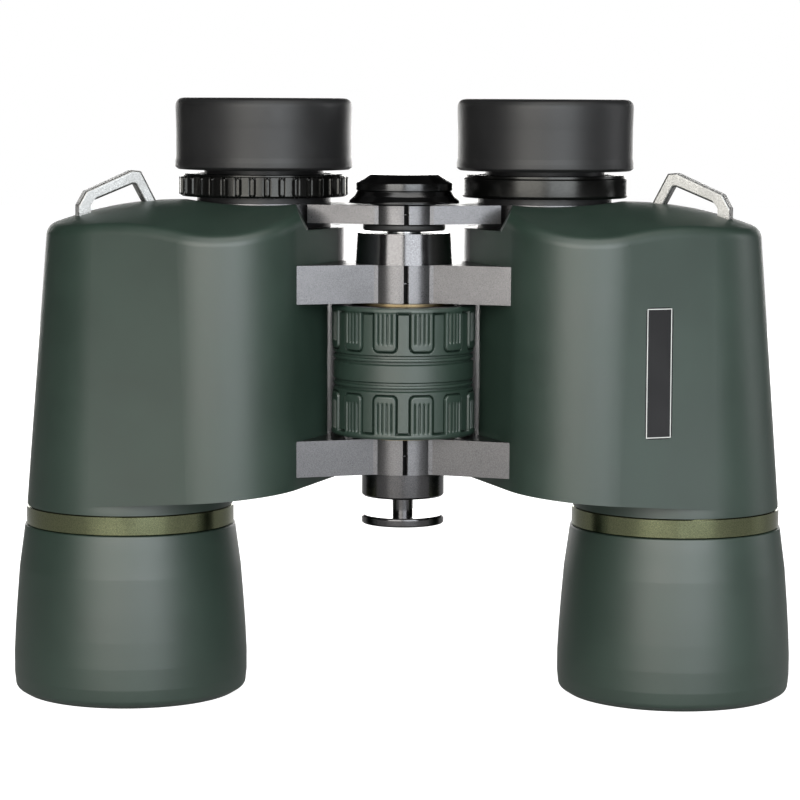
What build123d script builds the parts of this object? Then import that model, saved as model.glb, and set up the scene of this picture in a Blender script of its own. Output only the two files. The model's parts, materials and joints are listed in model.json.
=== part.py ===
from build123d import *
import os
from math import cos, hypot, radians, sin, sqrt

# Porro-prism binoculars, 42 mm objectives, standing on the objective rims with the eyepieces up.
# Millimetres, +Z up. The user's right half is at -X, the left half at +X, the top side faces -Y.
# Places in the plan are measured from the hinge axis and moved to the frame's origin when written.

# --- plan: hinge, optical axes and the three round corners of a prism housing ---
OCULAR_X, OCULAR_Y = 33.6, 14.0          # eyepiece axis from the hinge axis
OBJECTIVE_X, OBJECTIVE_Y = 65.0, 5.0     # objective axis from the hinge axis
KNEE_X = (OBJECTIVE_X + OCULAR_X + OBJECTIVE_Y - OCULAR_Y) / 2     # the light turns here, between
KNEE_Y = (OBJECTIVE_Y + OCULAR_Y - OBJECTIVE_X + OCULAR_X) / 2     # two prisms with equal steps
FRONT_X, FRONT_Y = KNEE_X - 1.8, KNEE_Y - 0.8                      # centre of the front corner
FRONT_R, OCULAR_END_R = 20.0, 19.75      # corner radii
OUTER_R_BOTTOM = 24.4                    # outer corner, the same as the skirt above the trim ring
OUTER_R_TOP, OUTER_TOP_X, OUTER_TOP_Y = 21.6, OBJECTIVE_X - 3.2, OBJECTIVE_Y - 0.8

# --- heights of the housing ---
FLOOR_Z, FLOOR_RISE = 47.4, 0.081        # floor at the objective axis, and its rise toward the hinge
SECTION_Z0 = 45.4                        # the plan is given at this height, and tapers upward from it
SKIRT_Z, SKIRT_TUCK = 44.9, 0.02
DOME_TOP_Z, DOME_R, DOME_X, DOME_Y = 117.0, 84.0, OBJECTIVE_X - 12.0, OBJECTIVE_Y + 3.0
SECTION_Z1 = DOME_TOP_Z + 4
COVER_Z = DOME_TOP_Z - 13.1              # joint between the casting and the cover plate
STEP_Z = DOME_TOP_Z - 6.5                # floor of the recess that the ocular arm lies in
STEP_X_BOTTOM, STEP_X_TOP = 22.5, 25.6   # its slanted outer wall
CAVITY_TOP_Z = DOME_TOP_Z - 9.0
SHOULDER_FILLET = 3.0
ARMOUR_T, WALL_T, FLOOR_T = 1.2, 2.0, 2.4
BARE_X_STEP, BARE_X_WHEEL = 15.6, 17.8   # the armour stops here beside the arms and the wheel

# --- hinge ---
LUG_LOW_Z0, LUG_LOW_Z1 = 53.5, 61.9
LUG_HIGH_Z0, LUG_HIGH_Z1 = DOME_TOP_Z - 23.3, DOME_TOP_Z - 14.4
BUSH_R = 6.0
RING_R, KNUCKLE_R = BUSH_R + 1.4, BUSH_R + 4.3
NEST_GAP, BUSH_FIT = 0.4, 0.05
LUG_FLAT_X, LUG_FLAT_Y, LUG_END_X, LUG_END_Y = 6.9, -8.4, 24.8, -15.0
LUG_BACK_X, LUG_BACK_Y = 22.0, 8.0
SPLIT_X, SPLIT_GAP = 0.6, 1.1            # the gap down the front of the lugs
BACK_OPEN_DEG = 21.0                     # each half ends this far short of the rear centre line
LEVEL_GAP = 0.3
LOWER_COLLAR_R, LOWER_COLLAR_Z = KNUCKLE_R - 0.6, LUG_LOW_Z0 - 5.8
UPPER_COLLAR_R0, UPPER_COLLAR_R1 = KNUCKLE_R + 1.05, KNUCKLE_R + 0.65
UPPER_COLLAR_Z = LUG_HIGH_Z1 + 7.2

# --- focus mechanism ---
WHEEL_R, WHEEL_Z0, WHEEL_Z1 = 17.0, LUG_LOW_Z1 + 0.7, LUG_HIGH_Z0 - 0.7
DRUM_R, WHEEL_CUT_R = WHEEL_R - 1.4, WHEEL_R + 1.0
WHEEL_MID_Z = (WHEEL_Z0 + WHEEL_Z1) / 2
GROOVE_ZS, GROOVE_W, GROOVE_D = (WHEEL_MID_Z - 2.0, WHEEL_MID_Z + 3.1), 1.2, 0.7
WASHER_R, WASHER_GAP = 12.0, 0.06
DRUM_WALL, DRUM_HUB_R, DRUM_WEB_T = 2.6, 8.0, 4.0
SHAFT_R, SHAFT_FIT, SHAFT_Z0 = 4.0, 0.06, LUG_LOW_Z1 + 2.1
O_RING_R, O_RING_Z0 = KNUCKLE_R - 0.64, UPPER_COLLAR_Z + 0.5
ARM_Z0 = UPPER_COLLAR_Z + 2.2
ARM_Z1, HUB_Z = ARM_Z0 + 4.3, ARM_Z0 + 7.0
HUB_TOP_R = SHAFT_R + 0.9
ARM_END_X, ARM_END_Y = 22.6, -3.2
CAP_R, CAP_Z0, CAP_Z1, CAP_FLAT_R, CAP_RIM_H = 11.25, HUB_Z + 0.7, HUB_Z + 4.4, 8.0, 1.7

# --- eyepieces ---
BARREL_R, BARREL_FIT, BARREL_WALL = 16.0, 0.06, 1.7
BARREL_Z0, BARREL_Z1 = ARM_Z0 - 9.7, ARM_Z0 + 11.0
ARM_RING_R, ARM_GAP = BARREL_R + 2.2, 0.5
CELL_WALL, NOSE_R, NOSE_Z0, CELL_Z1, CELL_STOP_R = 1.6, 12.0, ARM_Z0 - 16.0, ARM_Z0 + 22.0, 11.6
EYE_RING_Z0, EYE_RING_Z1 = ARM_Z1 + 1.3, ARM_Z1 + 6.8
DIOPTER_R, PLAIN_RING_R = BARREL_R + 4.0, BARREL_R + 3.95
RIB_COUNT, RIB_W, RIB_H, RIB_D = 36, 0.95, 4.4, 0.45
EYECUP_R, EYECUP_WAIST_R, EYECUP_MOUTH_R = BARREL_R + 5.1, BARREL_R + 4.9, BARREL_R - 0.6
EYECUP_Z0, EYECUP_Z1 = EYE_RING_Z1 + 1.0, EYE_RING_Z1 + 17.9
EYECUP_ROUND = 1.9
CORE_R, CORE_FIT, CORE_Z1 = BARREL_R + 1.2, 0.1, EYECUP_Z1 - 2.4
SLIP_RING_Z0, SLIP_RING_Z1, SLIP_RING_R = EYECUP_Z0 + 0.5, EYECUP_Z0 + 3.9, BARREL_R - 0.5
EYE_LENS_R, EYE_LENS_Z, EYE_LENS_T = 11.9, ARM_Z0 + 15.0, 4.0
FIELD_LENS_R, FIELD_LENS_Z, FIELD_LENS_T = 9.8, ARM_Z0 - 13.5, 3.0
LENS_FIT = 0.05

# --- objectives ---
ARMOUR_PROFILE = ((24.95, 40.2), (25.5, 36.0), (26.3, 30.2), (27.0, 21.5), (27.4, 15.7), (27.7, 9.5))
OBJECTIVE_R, RIM_R, RIM_CHAMFER_Z, RIM_LOW_R, RIM_EDGE = 27.7, 25.6, 1.9, 26.2, 0.6
OBJECTIVE_TOP_Z = 40.2
LENS_R, LENS_Z, CROWN_T, FLINT_T, LENS_SAG = 21.0, 9.0, 5.0, 3.2, 1.6
RETAINER_H, RETAINER_IN_R = 2.6, LENS_R - 1.1
LENS_STOP, BAFFLE_L = 1.6, 6.0
TRIM_R, TRIM_WALL = 24.6, 2.0
MOUTH_R, MOUTH_LIP_R = LENS_R + 1.0, LENS_R + 1.6      # plain mouth ahead of the lens seat
MOUTH_Z0, MOUTH_Z1 = 1.6, LENS_Z - 1.8
TUBE_R, TUBE_STEP_Z, TUBE_WALL = LENS_R + 3.0, 36.0, 1.8
NECK_R, NECK_Z1, NECK_FIT = 20.8, 55.5, 0.05

# --- prisms ---
SHELF_Z, SHELF_T, SHELF_FIT, SHELF_HOLE_R = 80.5, 2.5, 0.05, 8.6
PRISM_L, PRISM_W, PRISM_TIP, PRISM_GAP = 44.0, 20.0, 3.0, 0.02
CLIP_W, CLIP_T = 6.0, 0.8

# --- strap lug, name plate, tripod cap, screws ---
STRAP_Y, STRAP_T, STRAP_TURN, STRAP_FILLET = 4.0, 3.8, 21.0, 0.5
STRAP_X, STRAP_Z = OBJECTIVE_X + 2.3, DOME_TOP_Z    # the loop's outlines are given from here
STRAP_OUTER = ((10.1, -8.5), (10.1, -1.0), (8.4, 2.0), (-2.9, 6.9), (-5.0, 6.7), (-10.1, -3.0))
STRAP_INNER = ((7.3, -6.5), (7.3, -1.2), (6.5, -0.1), (-2.8, 3.6), (-3.6, 3.6), (-6.9, -2.5))
PLATE_X, PLATE_W, PLATE_Z0, PLATE_Z1, PLATE_CORNER = OBJECTIVE_X - 6.6, 6.4, 63.8, 94.0, 1.0
PLATE_T, PLATE_SINK = 0.5, 0.15
CAP_DISC_R, CAP_DISC_Z0, CAP_DISC_Z1, CAP_NECK_R = 9.7, 41.1, 43.2, 2.4
SOCKET_R, SOCKET_DEPTH, SOCKET_FIT = 3.175, 9.5, 0.075
SEAL_R, SEAL_T = 4.2, 0.8
SCREW_R, SCREW_HEAD_R, SCREW_HEAD_H, SCREW_L, SCREW_SINK = 1.0, 1.9, 1.3, 7.0, 0.9

HINGE_Y = -((OCULAR_Y + max(EYECUP_R, OCULAR_END_R)) + (FRONT_Y - FRONT_R)) / 2
FAR = 400.0
RIGHT, LEFT = -1, 1


def hull_of_circles(circles):
    """Closed face around three circles given counterclockwise as (x, y, r)."""
    tangents = []
    for index, (ax, ay, ar) in enumerate(circles):
        bx, by, br = circles[(index + 1) % len(circles)]
        length = hypot(bx - ax, by - ay)
        ux, uy = (bx - ax) / length, (by - ay) / length
        lean = (ar - br) / length
        square = sqrt(1 - lean * lean)
        nx, ny = ux * lean + uy * square, uy * lean - ux * square
        tangents.append((nx, ny, (ax + ar * nx, ay + ar * ny), (bx + br * nx, by + br * ny)))
    edges = []
    for index, (nx, ny, start, end) in enumerate(tangents):
        mx, my, following, _ = tangents[(index + 1) % len(tangents)]
        cx, cy, cr = circles[(index + 1) % len(circles)]
        middle = hypot(nx + mx, ny + my)
        knee = (cx + cr * (nx + mx) / middle, cy + cr * (ny + my) / middle)
        edges.append(Line(start, end))
        edges.append(ThreePointArc(end, knee, following))
    return make_face(edges)


def housing_section(inset, outer_x, outer_y, outer_r, z):
    """Plan of one housing (the +X half) at height z, drawn in by inset."""
    circles = (
        (FRONT_X, FRONT_Y, FRONT_R - inset),
        (outer_x, outer_y, outer_r - inset),
        (OCULAR_X, OCULAR_Y, OCULAR_END_R - inset),
    )
    return Pos(0, 0, z) * hull_of_circles(circles)


def housing_body(inset, top_inset=0.0, floor_up=0.0, fillet_r=0.0):
    """Tapered housing block under its dome, on its slanted floor."""
    low = housing_section(inset, OBJECTIVE_X, OBJECTIVE_Y, OUTER_R_BOTTOM, SECTION_Z0)
    high = housing_section(inset, OUTER_TOP_X, OUTER_TOP_Y, OUTER_R_TOP, SECTION_Z1)
    body = loft([low, high], ruled=True) & dome(DOME_R - top_inset)
    if fillet_r:
        body = fillet(shoulder_edges(body, DOME_R - top_inset), fillet_r)
    return body - floor_below(floor_up)


def dome(r):
    """Domed top: round toward the outer end, straight toward the hinge."""
    ridge = Pos(DOME_X - FAR / 2, 0, 0) * Rot(0, 90, 0) * Cylinder(r, FAR)
    return Pos(0, DOME_Y, DOME_TOP_Z - DOME_R) * (Pos(DOME_X, 0, 0) * Sphere(r) + ridge)


def shoulder_edges(body, r):
    """Edges where the dome meets the upright walls."""
    middle = Vector(0, DOME_Y, DOME_TOP_Z - DOME_R)
    upright = [face for face in body.faces() if abs(face.normal_at().Z) < 0.5]
    walls = [face for face in upright if face.center().Z < STEP_Z - 10]
    rims = []
    for wall in walls:
        for edge in wall.edges():
            offset = edge.center() - middle
            along = max(offset.X - DOME_X, 0)
            if abs(hypot(hypot(along, offset.Y), offset.Z) - r) < 0.5 and edge.center().Z > STEP_Z - 10:
                rims.append(edge)
    return rims


def floor_below(up):
    """Everything under the slanted floor, with the floor raised by up."""
    z_at_hinge = FLOOR_Z + up + FLOOR_RISE * OBJECTIVE_X
    rise = FLOOR_RISE * FAR
    outline = Polygon((-FAR, rise), (FAR, -rise), (FAR, -FAR), (-FAR, -FAR), align=None)
    return Pos(0, 0, z_at_hinge) * extrude(Plane.XZ * outline, FAR, both=True)


def block(x0, x1, y0, y1, z0, z1):
    return Pos((x0 + x1) / 2, (y0 + y1) / 2, (z0 + z1) / 2) * Box(x1 - x0, y1 - y0, z1 - z0)


def rod(r, z0, z1, x=0.0, y=0.0):
    return Pos(x, y, (z0 + z1) / 2) * Cylinder(r, z1 - z0)


def tube(r_out, r_in, z0, z1, x=0.0, y=0.0):
    return rod(r_out, z0, z1, x, y) - rod(r_in, z0 - 1, z1 + 1, x, y)


def turned(points, x=0.0, y=0.0):
    """Solid of revolution about a vertical axis from (radius, z) points."""
    return Pos(x, y, 0) * revolve(Plane.XZ * Polygon(*points, align=None), Axis.Z)


def prismatic(points, z0, z1):
    """Upright block from plan points."""
    return Pos(0, 0, (z0 + z1) / 2) * extrude(Polygon(*points, align=None), (z1 - z0) / 2, both=True)


# ---------------------------------------------------------------- hinge pieces

def own_side(side, z0, z1):
    """The angle about the hinge that one half may fill: front gap to rear opening."""
    edge = SPLIT_X + side * SPLIT_GAP / 2
    back = radians(BACK_OPEN_DEG)
    reach = FAR / 4
    points = (
        (edge, 0),
        (edge, -reach),
        (side * reach, -reach),
        (side * reach, reach * cos(back)),
        (side * reach * sin(back), reach * cos(back)),
    )
    return prismatic(points, z0, z1)


def knuckle(side, z0, z1, ring_low, bore_r, flat, ring_top=None, cheek_top=None):
    """Hub of one half: a full ring at half the height, nested inside cheeks of full height."""
    middle = (z0 + z1) / 2
    ring_z0 = z0 if ring_low else middle + LEVEL_GAP / 2
    ring_z1 = middle - LEVEL_GAP / 2 if ring_low else z1
    cheek = own_side(side, z0, cheek_top or z1) & (rod(KNUCKLE_R, z0, cheek_top or z1) + flat)
    cheek = cheek - rod(RING_R + NEST_GAP, z0 - 1, z1 + 9)
    web = own_side(side, ring_z0, ring_z1) & rod(RING_R + 2 * NEST_GAP, ring_z0, ring_z1)
    ring = rod(RING_R, ring_z0, ring_z1)
    if ring_top:
        ring = ring + ring_top
    return cheek + (ring + web) - rod(bore_r, z0 - 1, z1 + 9)


def lug(side, z0, z1, ring_low):
    """Hinge lug of a housing, from its knuckle to the casting's inner flank."""
    points = (
        (side * 0.1, LUG_FLAT_Y),
        (side * LUG_FLAT_X, LUG_FLAT_Y),
        (side * LUG_END_X, LUG_END_Y),
        (side * (LUG_END_X + 4), LUG_END_Y + 6),
        (side * LUG_BACK_X, LUG_BACK_Y),
        (side * LUG_FLAT_X, KNUCKLE_R - 1),
    )
    return knuckle(side, z0, z1, ring_low, BUSH_R + BUSH_FIT, prismatic(points, z0, z1))


def hinge_lugs(side):
    low = side == RIGHT
    return lug(side, LUG_LOW_Z0, LUG_LOW_Z1, low) + lug(side, LUG_HIGH_Z0, LUG_HIGH_Z1, low)


def upper_hinge_bush():
    sleeve = rod(BUSH_R, LUG_HIGH_Z0 + 0.1, LUG_HIGH_Z1)
    collar = turned((
        (0, LUG_HIGH_Z1),
        (UPPER_COLLAR_R0, LUG_HIGH_Z1),
        (UPPER_COLLAR_R1, UPPER_COLLAR_Z),
        (0, UPPER_COLLAR_Z),
    ))
    return sleeve + collar - rod(SHAFT_R + SHAFT_FIT, LUG_HIGH_Z0 - 1, UPPER_COLLAR_Z + 1)


def lower_hinge_pin():
    pin = rod(BUSH_R, LUG_LOW_Z0, LUG_LOW_Z1 - 0.1)
    collar = rod(LOWER_COLLAR_R, LOWER_COLLAR_Z, LUG_LOW_Z0)
    collar = chamfer(collar.edges().sort_by(Axis.Z)[0], 0.4)
    return collar + pin - rod(SOCKET_R, LOWER_COLLAR_Z - 1, LOWER_COLLAR_Z + SOCKET_DEPTH)


# ---------------------------------------------------------------- one half

def step_recess(grow=0.0):
    """Space over the low inner step where the ocular arm lies, with the well round the eyepiece."""
    height = 20
    lean = (STEP_X_TOP - STEP_X_BOTTOM) / (DOME_TOP_Z - STEP_Z) * height
    points = (
        (0, STEP_Z),
        (STEP_X_BOTTOM + grow, STEP_Z),
        (STEP_X_BOTTOM + grow + lean, STEP_Z + height),
        (0, STEP_Z + height),
    )
    slab = extrude(Plane.XZ * Polygon(*points, align=None), FAR, both=True)
    return slab + rod(ARM_RING_R + ARM_GAP + grow, STEP_Z, STEP_Z + height, OCULAR_X, OCULAR_Y)


def bare_strip():
    """Inner edge of the housing where the casting shows beside the arms and the wheel."""
    high = block(-FAR, BARE_X_STEP, -FAR, FAR, 0, FAR)
    return high + block(-FAR, BARE_X_WHEEL, -FAR, FAR, LUG_LOW_Z1, LUG_HIGH_Z0)


def wheel_clearance():
    return rod(WHEEL_CUT_R, LUG_LOW_Z1, LUG_HIGH_Z0)


def objective_skirt(inset):
    """Round collar under the slanted floor, tapering into the housing's outer corner."""
    low = Pos(OBJECTIVE_X, OBJECTIVE_Y, SECTION_Z0) * Circle(OUTER_R_BOTTOM - inset - SKIRT_TUCK)
    high = Pos(OUTER_TOP_X, OUTER_TOP_Y, SECTION_Z1) * Circle(OUTER_R_TOP - inset - SKIRT_TUCK)
    upper = loft([low, high], ruled=True) & block(0, FAR, -FAR, FAR, 0, FLOOR_Z + 4)
    lower = rod(OUTER_R_BOTTOM - inset - SKIRT_TUCK, SKIRT_Z, SECTION_Z0, OBJECTIVE_X, OBJECTIVE_Y)
    return lower + upper


def neck_hole():
    return rod(NECK_R + NECK_FIT, SKIRT_Z - 1, FLOOR_Z + 9, OBJECTIVE_X, OBJECTIVE_Y)


def cavity():
    return housing_body(ARMOUR_T + WALL_T, floor_up=FLOOR_T) & block(0, FAR, -FAR, FAR, 0, CAVITY_TOP_Z)


def strap_lug():
    """Flat loop that stands on the outer shoulder, its feet let into the cover plate."""
    loop = Polygon(*STRAP_OUTER, align=None) - Polygon(*STRAP_INNER, align=None)
    plate = extrude(Plane.XZ * loop, STRAP_T / 2, both=True)
    upper = [e for e in plate.edges() if e.center().Z > 0]
    plate = fillet(upper, STRAP_FILLET)
    return Pos(STRAP_X, STRAP_Y, STRAP_Z) * Rot(0, 0, -STRAP_TURN) * plate


def screw_places():
    return (
        (OBJECTIVE_X + 7.5, OBJECTIVE_Y - 10.5),
        (FRONT_X - 12.0, FRONT_Y - 1.5),
        (OBJECTIVE_X - 6.5, OBJECTIVE_Y + 14.0),
    )


def cover_screws():
    """Countersunk screws that hold the cover plate, under the armour."""
    screws = []
    for x, y in screw_places():
        top = dome_z(x, y) - ARMOUR_T - SCREW_SINK
        neck = top - SCREW_HEAD_H
        head = turned(((0, top), (SCREW_HEAD_R, top), (SCREW_R, neck), (0, neck)), x, y)
        screws.append(head + rod(SCREW_R, top - SCREW_L, neck, x, y))
    return screws


def dome_z(x, y):
    along = max(x - DOME_X, 0)
    return DOME_TOP_Z - DOME_R + sqrt(DOME_R ** 2 - along ** 2 - (y - DOME_Y) ** 2)


def casting_blank():
    """Outside of casting and cover together, before they are parted."""
    inner = housing_body(ARMOUR_T, ARMOUR_T)
    strip = housing_body(0.0, 0.0) & bare_strip()
    return inner + strip + objective_skirt(ARMOUR_T)


def prism_housing(side, blank):
    """Open-topped casting with both hinge lugs."""
    body = blank & block(0, FAR, -FAR, FAR, 0, COVER_Z)
    if side == RIGHT:
        lugs = mirror(hinge_lugs(RIGHT), Plane.YZ)
    else:
        lugs = hinge_lugs(LEFT)
    return body - wheel_clearance() + lugs - cavity() - neck_hole()


def ocular_cover_plate(blank):
    """Lid of the prism well, with the bore that guides the eyepiece."""
    lid = blank & block(0, FAR, -FAR, FAR, COVER_Z, FAR)
    lid = lid - step_recess(ARMOUR_T) - cavity()
    lid = lid - rod(BARREL_R + BARREL_FIT, COVER_Z, FAR / 2, OCULAR_X, OCULAR_Y)
    lid = lid - strap_lug()
    for screw in cover_screws():
        lid = lid - screw
    return lid


def body_armour(side):
    """Rubber skin bonded over the casting and the cover."""
    skin = housing_body(0.0, 0.0, fillet_r=SHOULDER_FILLET) + objective_skirt(0.0)
    skin = skin - step_recess() - (housing_body(ARMOUR_T, ARMOUR_T) - step_recess(ARMOUR_T))
    skin = skin - objective_skirt(ARMOUR_T) - bare_strip() - wheel_clearance() - neck_hole()
    lugs = hinge_lugs(LEFT) if side == LEFT else mirror(hinge_lugs(RIGHT), Plane.YZ)
    skin = skin - lugs - strap_lug()
    if side == LEFT:
        skin = skin - name_plate(PLATE_T)
    return max(skin.solids(), key=lambda s: s.volume)


def name_plate(proud=0.0):
    """Blank plate let into the front of the left housing's armour, or with proud the pocket for it."""
    outline = RectangleRounded(PLATE_W, PLATE_Z1 - PLATE_Z0, PLATE_CORNER)
    post = extrude(Plane.XZ * outline, FAR / 4)
    post = Pos(PLATE_X, 0, (PLATE_Z0 + PLATE_Z1) / 2) * post
    skin = housing_body(PLATE_SINK - proud) - housing_body(PLATE_SINK + PLATE_T)
    return max((post & skin).solids(), key=lambda s: s.volume)


def prism_frame(x0, y0, x1, y1):
    """Location over the middle of two axis points, with x along the line that joins them."""
    direction = Vector(x1 - x0, y1 - y0, 0)
    return Location(Plane(origin=((x0 + x1) / 2, (y0 + y1) / 2, 0), x_dir=direction, z_dir=(0, 0, 1)))


def roof_prism():
    """Porro prism along x, its long face just over z = 0 and its blunted apex up."""
    half = PRISM_L / 2
    tip = half - PRISM_TIP / 2
    points = ((-half, 0), (half, 0), (PRISM_TIP / 2, tip), (-PRISM_TIP / 2, tip))
    return Pos(0, 0, PRISM_GAP) * extrude(Plane.XZ * Polygon(*points, align=None), PRISM_W / 2, both=True)


def prism_clip():
    """Spring strap over a prism's apex, its legs down to the shelf at z = 0."""
    rise = PRISM_L / 2 - PRISM_TIP / 2 + 2 * PRISM_GAP
    inner_y = PRISM_W / 2 + PRISM_GAP
    outer_y = inner_y + CLIP_T
    strap = block(-CLIP_W / 2, CLIP_W / 2, -outer_y, outer_y, 0, rise + CLIP_T)
    return strap - block(-CLIP_W, CLIP_W, -inner_y, inner_y, -1, rise)


def upper_prism_place():
    return prism_frame(OBJECTIVE_X, OBJECTIVE_Y, KNEE_X, KNEE_Y) * Pos(0, 0, SHELF_Z)


def lower_prism_place():
    return prism_frame(KNEE_X, KNEE_Y, OCULAR_X, OCULAR_Y) * Pos(0, 0, SHELF_Z - SHELF_T) * Rot(180, 0, 0)


def upper_prism():
    return upper_prism_place() * roof_prism()


def lower_prism():
    return lower_prism_place() * roof_prism()


def prism_clips():
    return [upper_prism_place() * prism_clip(), lower_prism_place() * prism_clip()]


def prism_shelf():
    """Plate across the prism well, with an opening at each turn of the light."""
    well = housing_body(ARMOUR_T + WALL_T + SHELF_FIT)
    plate = well & block(0, FAR, -FAR, FAR, SHELF_Z - SHELF_T, SHELF_Z)
    for x, y in ((OBJECTIVE_X, OBJECTIVE_Y), (KNEE_X, KNEE_Y), (OCULAR_X, OCULAR_Y)):
        plate = plate - rod(SHELF_HOLE_R, SHELF_Z - SHELF_T - 1, SHELF_Z + 1, x, y)
    return plate


# ---------------------------------------------------------------- objectives

def at_objective(shape):
    return Pos(OBJECTIVE_X, OBJECTIVE_Y, 0) * shape


def objective_barrel():
    """Metal tube that screws into the casting's floor and carries the objective lens."""
    bore = LENS_R + LENS_FIT
    stop_z = LENS_Z + CROWN_T + FLINT_T
    stop_r = LENS_R - LENS_STOP
    return at_objective(turned((
        (MOUTH_R, MOUTH_Z0),
        (TUBE_R, MOUTH_Z0),
        (TUBE_R, TUBE_STEP_Z),
        (TRIM_R - TRIM_WALL, OBJECTIVE_TOP_Z),
        (TRIM_R - TRIM_WALL, SKIRT_Z),
        (NECK_R, SKIRT_Z),
        (NECK_R, NECK_Z1),
        (NECK_R - TUBE_WALL, NECK_Z1),
        (NECK_R - TUBE_WALL, TUBE_STEP_Z),
        (stop_r, stop_z + BAFFLE_L),
        (stop_r, stop_z),
        (bore, stop_z),
        (bore, MOUTH_Z1),
        (MOUTH_R, MOUTH_Z1),
    )))


def objective_armour():
    """Flared rubber sleeve with a soft rim that the binoculars stand on."""
    outer = [
        (RIM_R - RIM_EDGE, 0.0),
        (RIM_R, 0.25),
        (RIM_LOW_R, 0.9),
        (OBJECTIVE_R - 0.3, RIM_CHAMFER_Z),
        (OBJECTIVE_R, RIM_CHAMFER_Z + 1.2),
        *[point for point in reversed(ARMOUR_PROFILE)],
    ]
    inner = [
        (TRIM_R - TRIM_WALL, OBJECTIVE_TOP_Z),
        (TUBE_R, TUBE_STEP_Z),
        (TUBE_R, MOUTH_Z0),
        (MOUTH_LIP_R, MOUTH_Z0),
        (MOUTH_LIP_R, RIM_EDGE),
        (MOUTH_LIP_R + RIM_EDGE, 0.0),
    ]
    return at_objective(turned(outer + inner))


def objective_trim_ring():
    ring = tube(TRIM_R, TRIM_R - TRIM_WALL, OBJECTIVE_TOP_Z, SKIRT_Z)
    ring = chamfer(ring.edges().filter_by(GeomType.CIRCLE).sort_by(SortBy.RADIUS)[-2:], 0.3)
    return at_objective(ring)


def lens_disc(r, z0, t, sag):
    """Lens with a convex face down, an edge band and a flat back."""
    arc_r = (r * r + sag * sag) / (2 * sag)
    body = rod(r, z0, z0 + t)
    return body & (Pos(0, 0, z0 + arc_r) * Sphere(arc_r))


def crown_lens():
    return at_objective(lens_disc(LENS_R, LENS_Z, CROWN_T, LENS_SAG))


def flint_lens():
    z0 = LENS_Z + CROWN_T
    return at_objective(rod(LENS_R, z0, z0 + FLINT_T))


def lens_retainer():
    """Threaded ring that holds the doublet against its seat."""
    top = LENS_Z + LENS_SAG * (RETAINER_IN_R / LENS_R) ** 2 - LENS_FIT
    bore_taper = RETAINER_IN_R + 0.5
    return at_objective(turned((
        (bore_taper, top - RETAINER_H),
        (LENS_R, top - RETAINER_H),
        (LENS_R, top),
        (RETAINER_IN_R + 0.2, top),
        (RETAINER_IN_R, top - 0.6),
    )))


# ---------------------------------------------------------------- eyepieces

def at_ocular(shape):
    return Pos(OCULAR_X, OCULAR_Y, 0) * shape


def eyepiece_barrel():
    """Outer tube, clamped in the arm and sliding in the cover plate."""
    return at_ocular(tube(BARREL_R, BARREL_R - BARREL_WALL, BARREL_Z0, BARREL_Z1))


def eyepiece_cell():
    """Inner tube that holds the eyepiece's lenses."""
    r = BARREL_R - BARREL_WALL - BARREL_FIT
    shelf = EYE_LENS_Z + EYE_LENS_T
    return at_ocular(turned((
        (NOSE_R, NOSE_Z0),
        (NOSE_R, BARREL_Z0),
        (r, BARREL_Z0),
        (r, CELL_Z1),
        (CELL_STOP_R - 0.8, CELL_Z1),
        (CELL_STOP_R - 1.2, shelf + 1.2),
        (CELL_STOP_R - 1.2, shelf),
        (EYE_LENS_R + LENS_FIT, shelf),
        (EYE_LENS_R + LENS_FIT, BARREL_Z0 + CELL_WALL),
        (FIELD_LENS_R + LENS_FIT, BARREL_Z0 + CELL_WALL),
        (FIELD_LENS_R + LENS_FIT, NOSE_Z0),
    )))


def eye_lens():
    lens = lens_disc(EYE_LENS_R, -EYE_LENS_Z - EYE_LENS_T, EYE_LENS_T, 0.9)
    return at_ocular(Rot(180, 0, 0) * lens)


def field_lens():
    return at_ocular(lens_disc(FIELD_LENS_R, FIELD_LENS_Z, FIELD_LENS_T, 0.8))


def eye_ring(r):
    ring = tube(r, BARREL_R + BARREL_FIT, EYE_RING_Z0, EYE_RING_Z1)
    rims = ring.edges().filter_by(GeomType.CIRCLE).sort_by(SortBy.RADIUS)[-2:]
    return at_ocular(chamfer(rims, 0.4))


def diopter_ring():
    """Ring with upright ribs round it, turned to set the right eyepiece."""
    body = eye_ring(DIOPTER_R)
    middle = (EYE_RING_Z0 + EYE_RING_Z1) / 2
    rib = Pos(DIOPTER_R, 0, middle) * Box(2 * RIB_D, RIB_W, RIB_H)
    ribs = [Rot(0, 0, n * 360 / RIB_COUNT) * rib for n in range(RIB_COUNT)]
    return body + [at_ocular(r) for r in ribs]


def eyecup_slip_ring():
    inner = BARREL_R - BARREL_WALL - BARREL_FIT + CORE_FIT
    return at_ocular(tube(SLIP_RING_R, inner, SLIP_RING_Z0, SLIP_RING_Z1))


def eyecup_core():
    """Metal sleeve inside the eyecup, turning on the slip ring."""
    inner = SLIP_RING_R + CORE_FIT
    return at_ocular(tube(CORE_R, inner, EYECUP_Z0, CORE_Z1))


def eyecup():
    """Rubber cup with a waisted side and a soft rounded mouth."""
    top_round = EYECUP_Z1 - EYECUP_ROUND
    middle = (EYECUP_Z0 + EYECUP_Z1) / 2
    shape = turned((
        (CORE_R, EYECUP_Z0),
        (EYECUP_R, EYECUP_Z0),
        (EYECUP_R, EYECUP_Z0 + 1.4),
        (EYECUP_WAIST_R, EYECUP_Z0 + 2.2),
        (EYECUP_WAIST_R, middle),
        (EYECUP_R, top_round),
        (EYECUP_R, EYECUP_Z1),
        (EYECUP_MOUTH_R, EYECUP_Z1),
        (EYECUP_MOUTH_R, CORE_Z1),
        (CORE_R, CORE_Z1),
    ))
    rim = [e for e in shape.edges() if e.center().Z > EYECUP_Z1 - 0.01]
    return at_ocular(fillet(rim, 1.1))


# ---------------------------------------------------------------- focusing bridge

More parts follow.
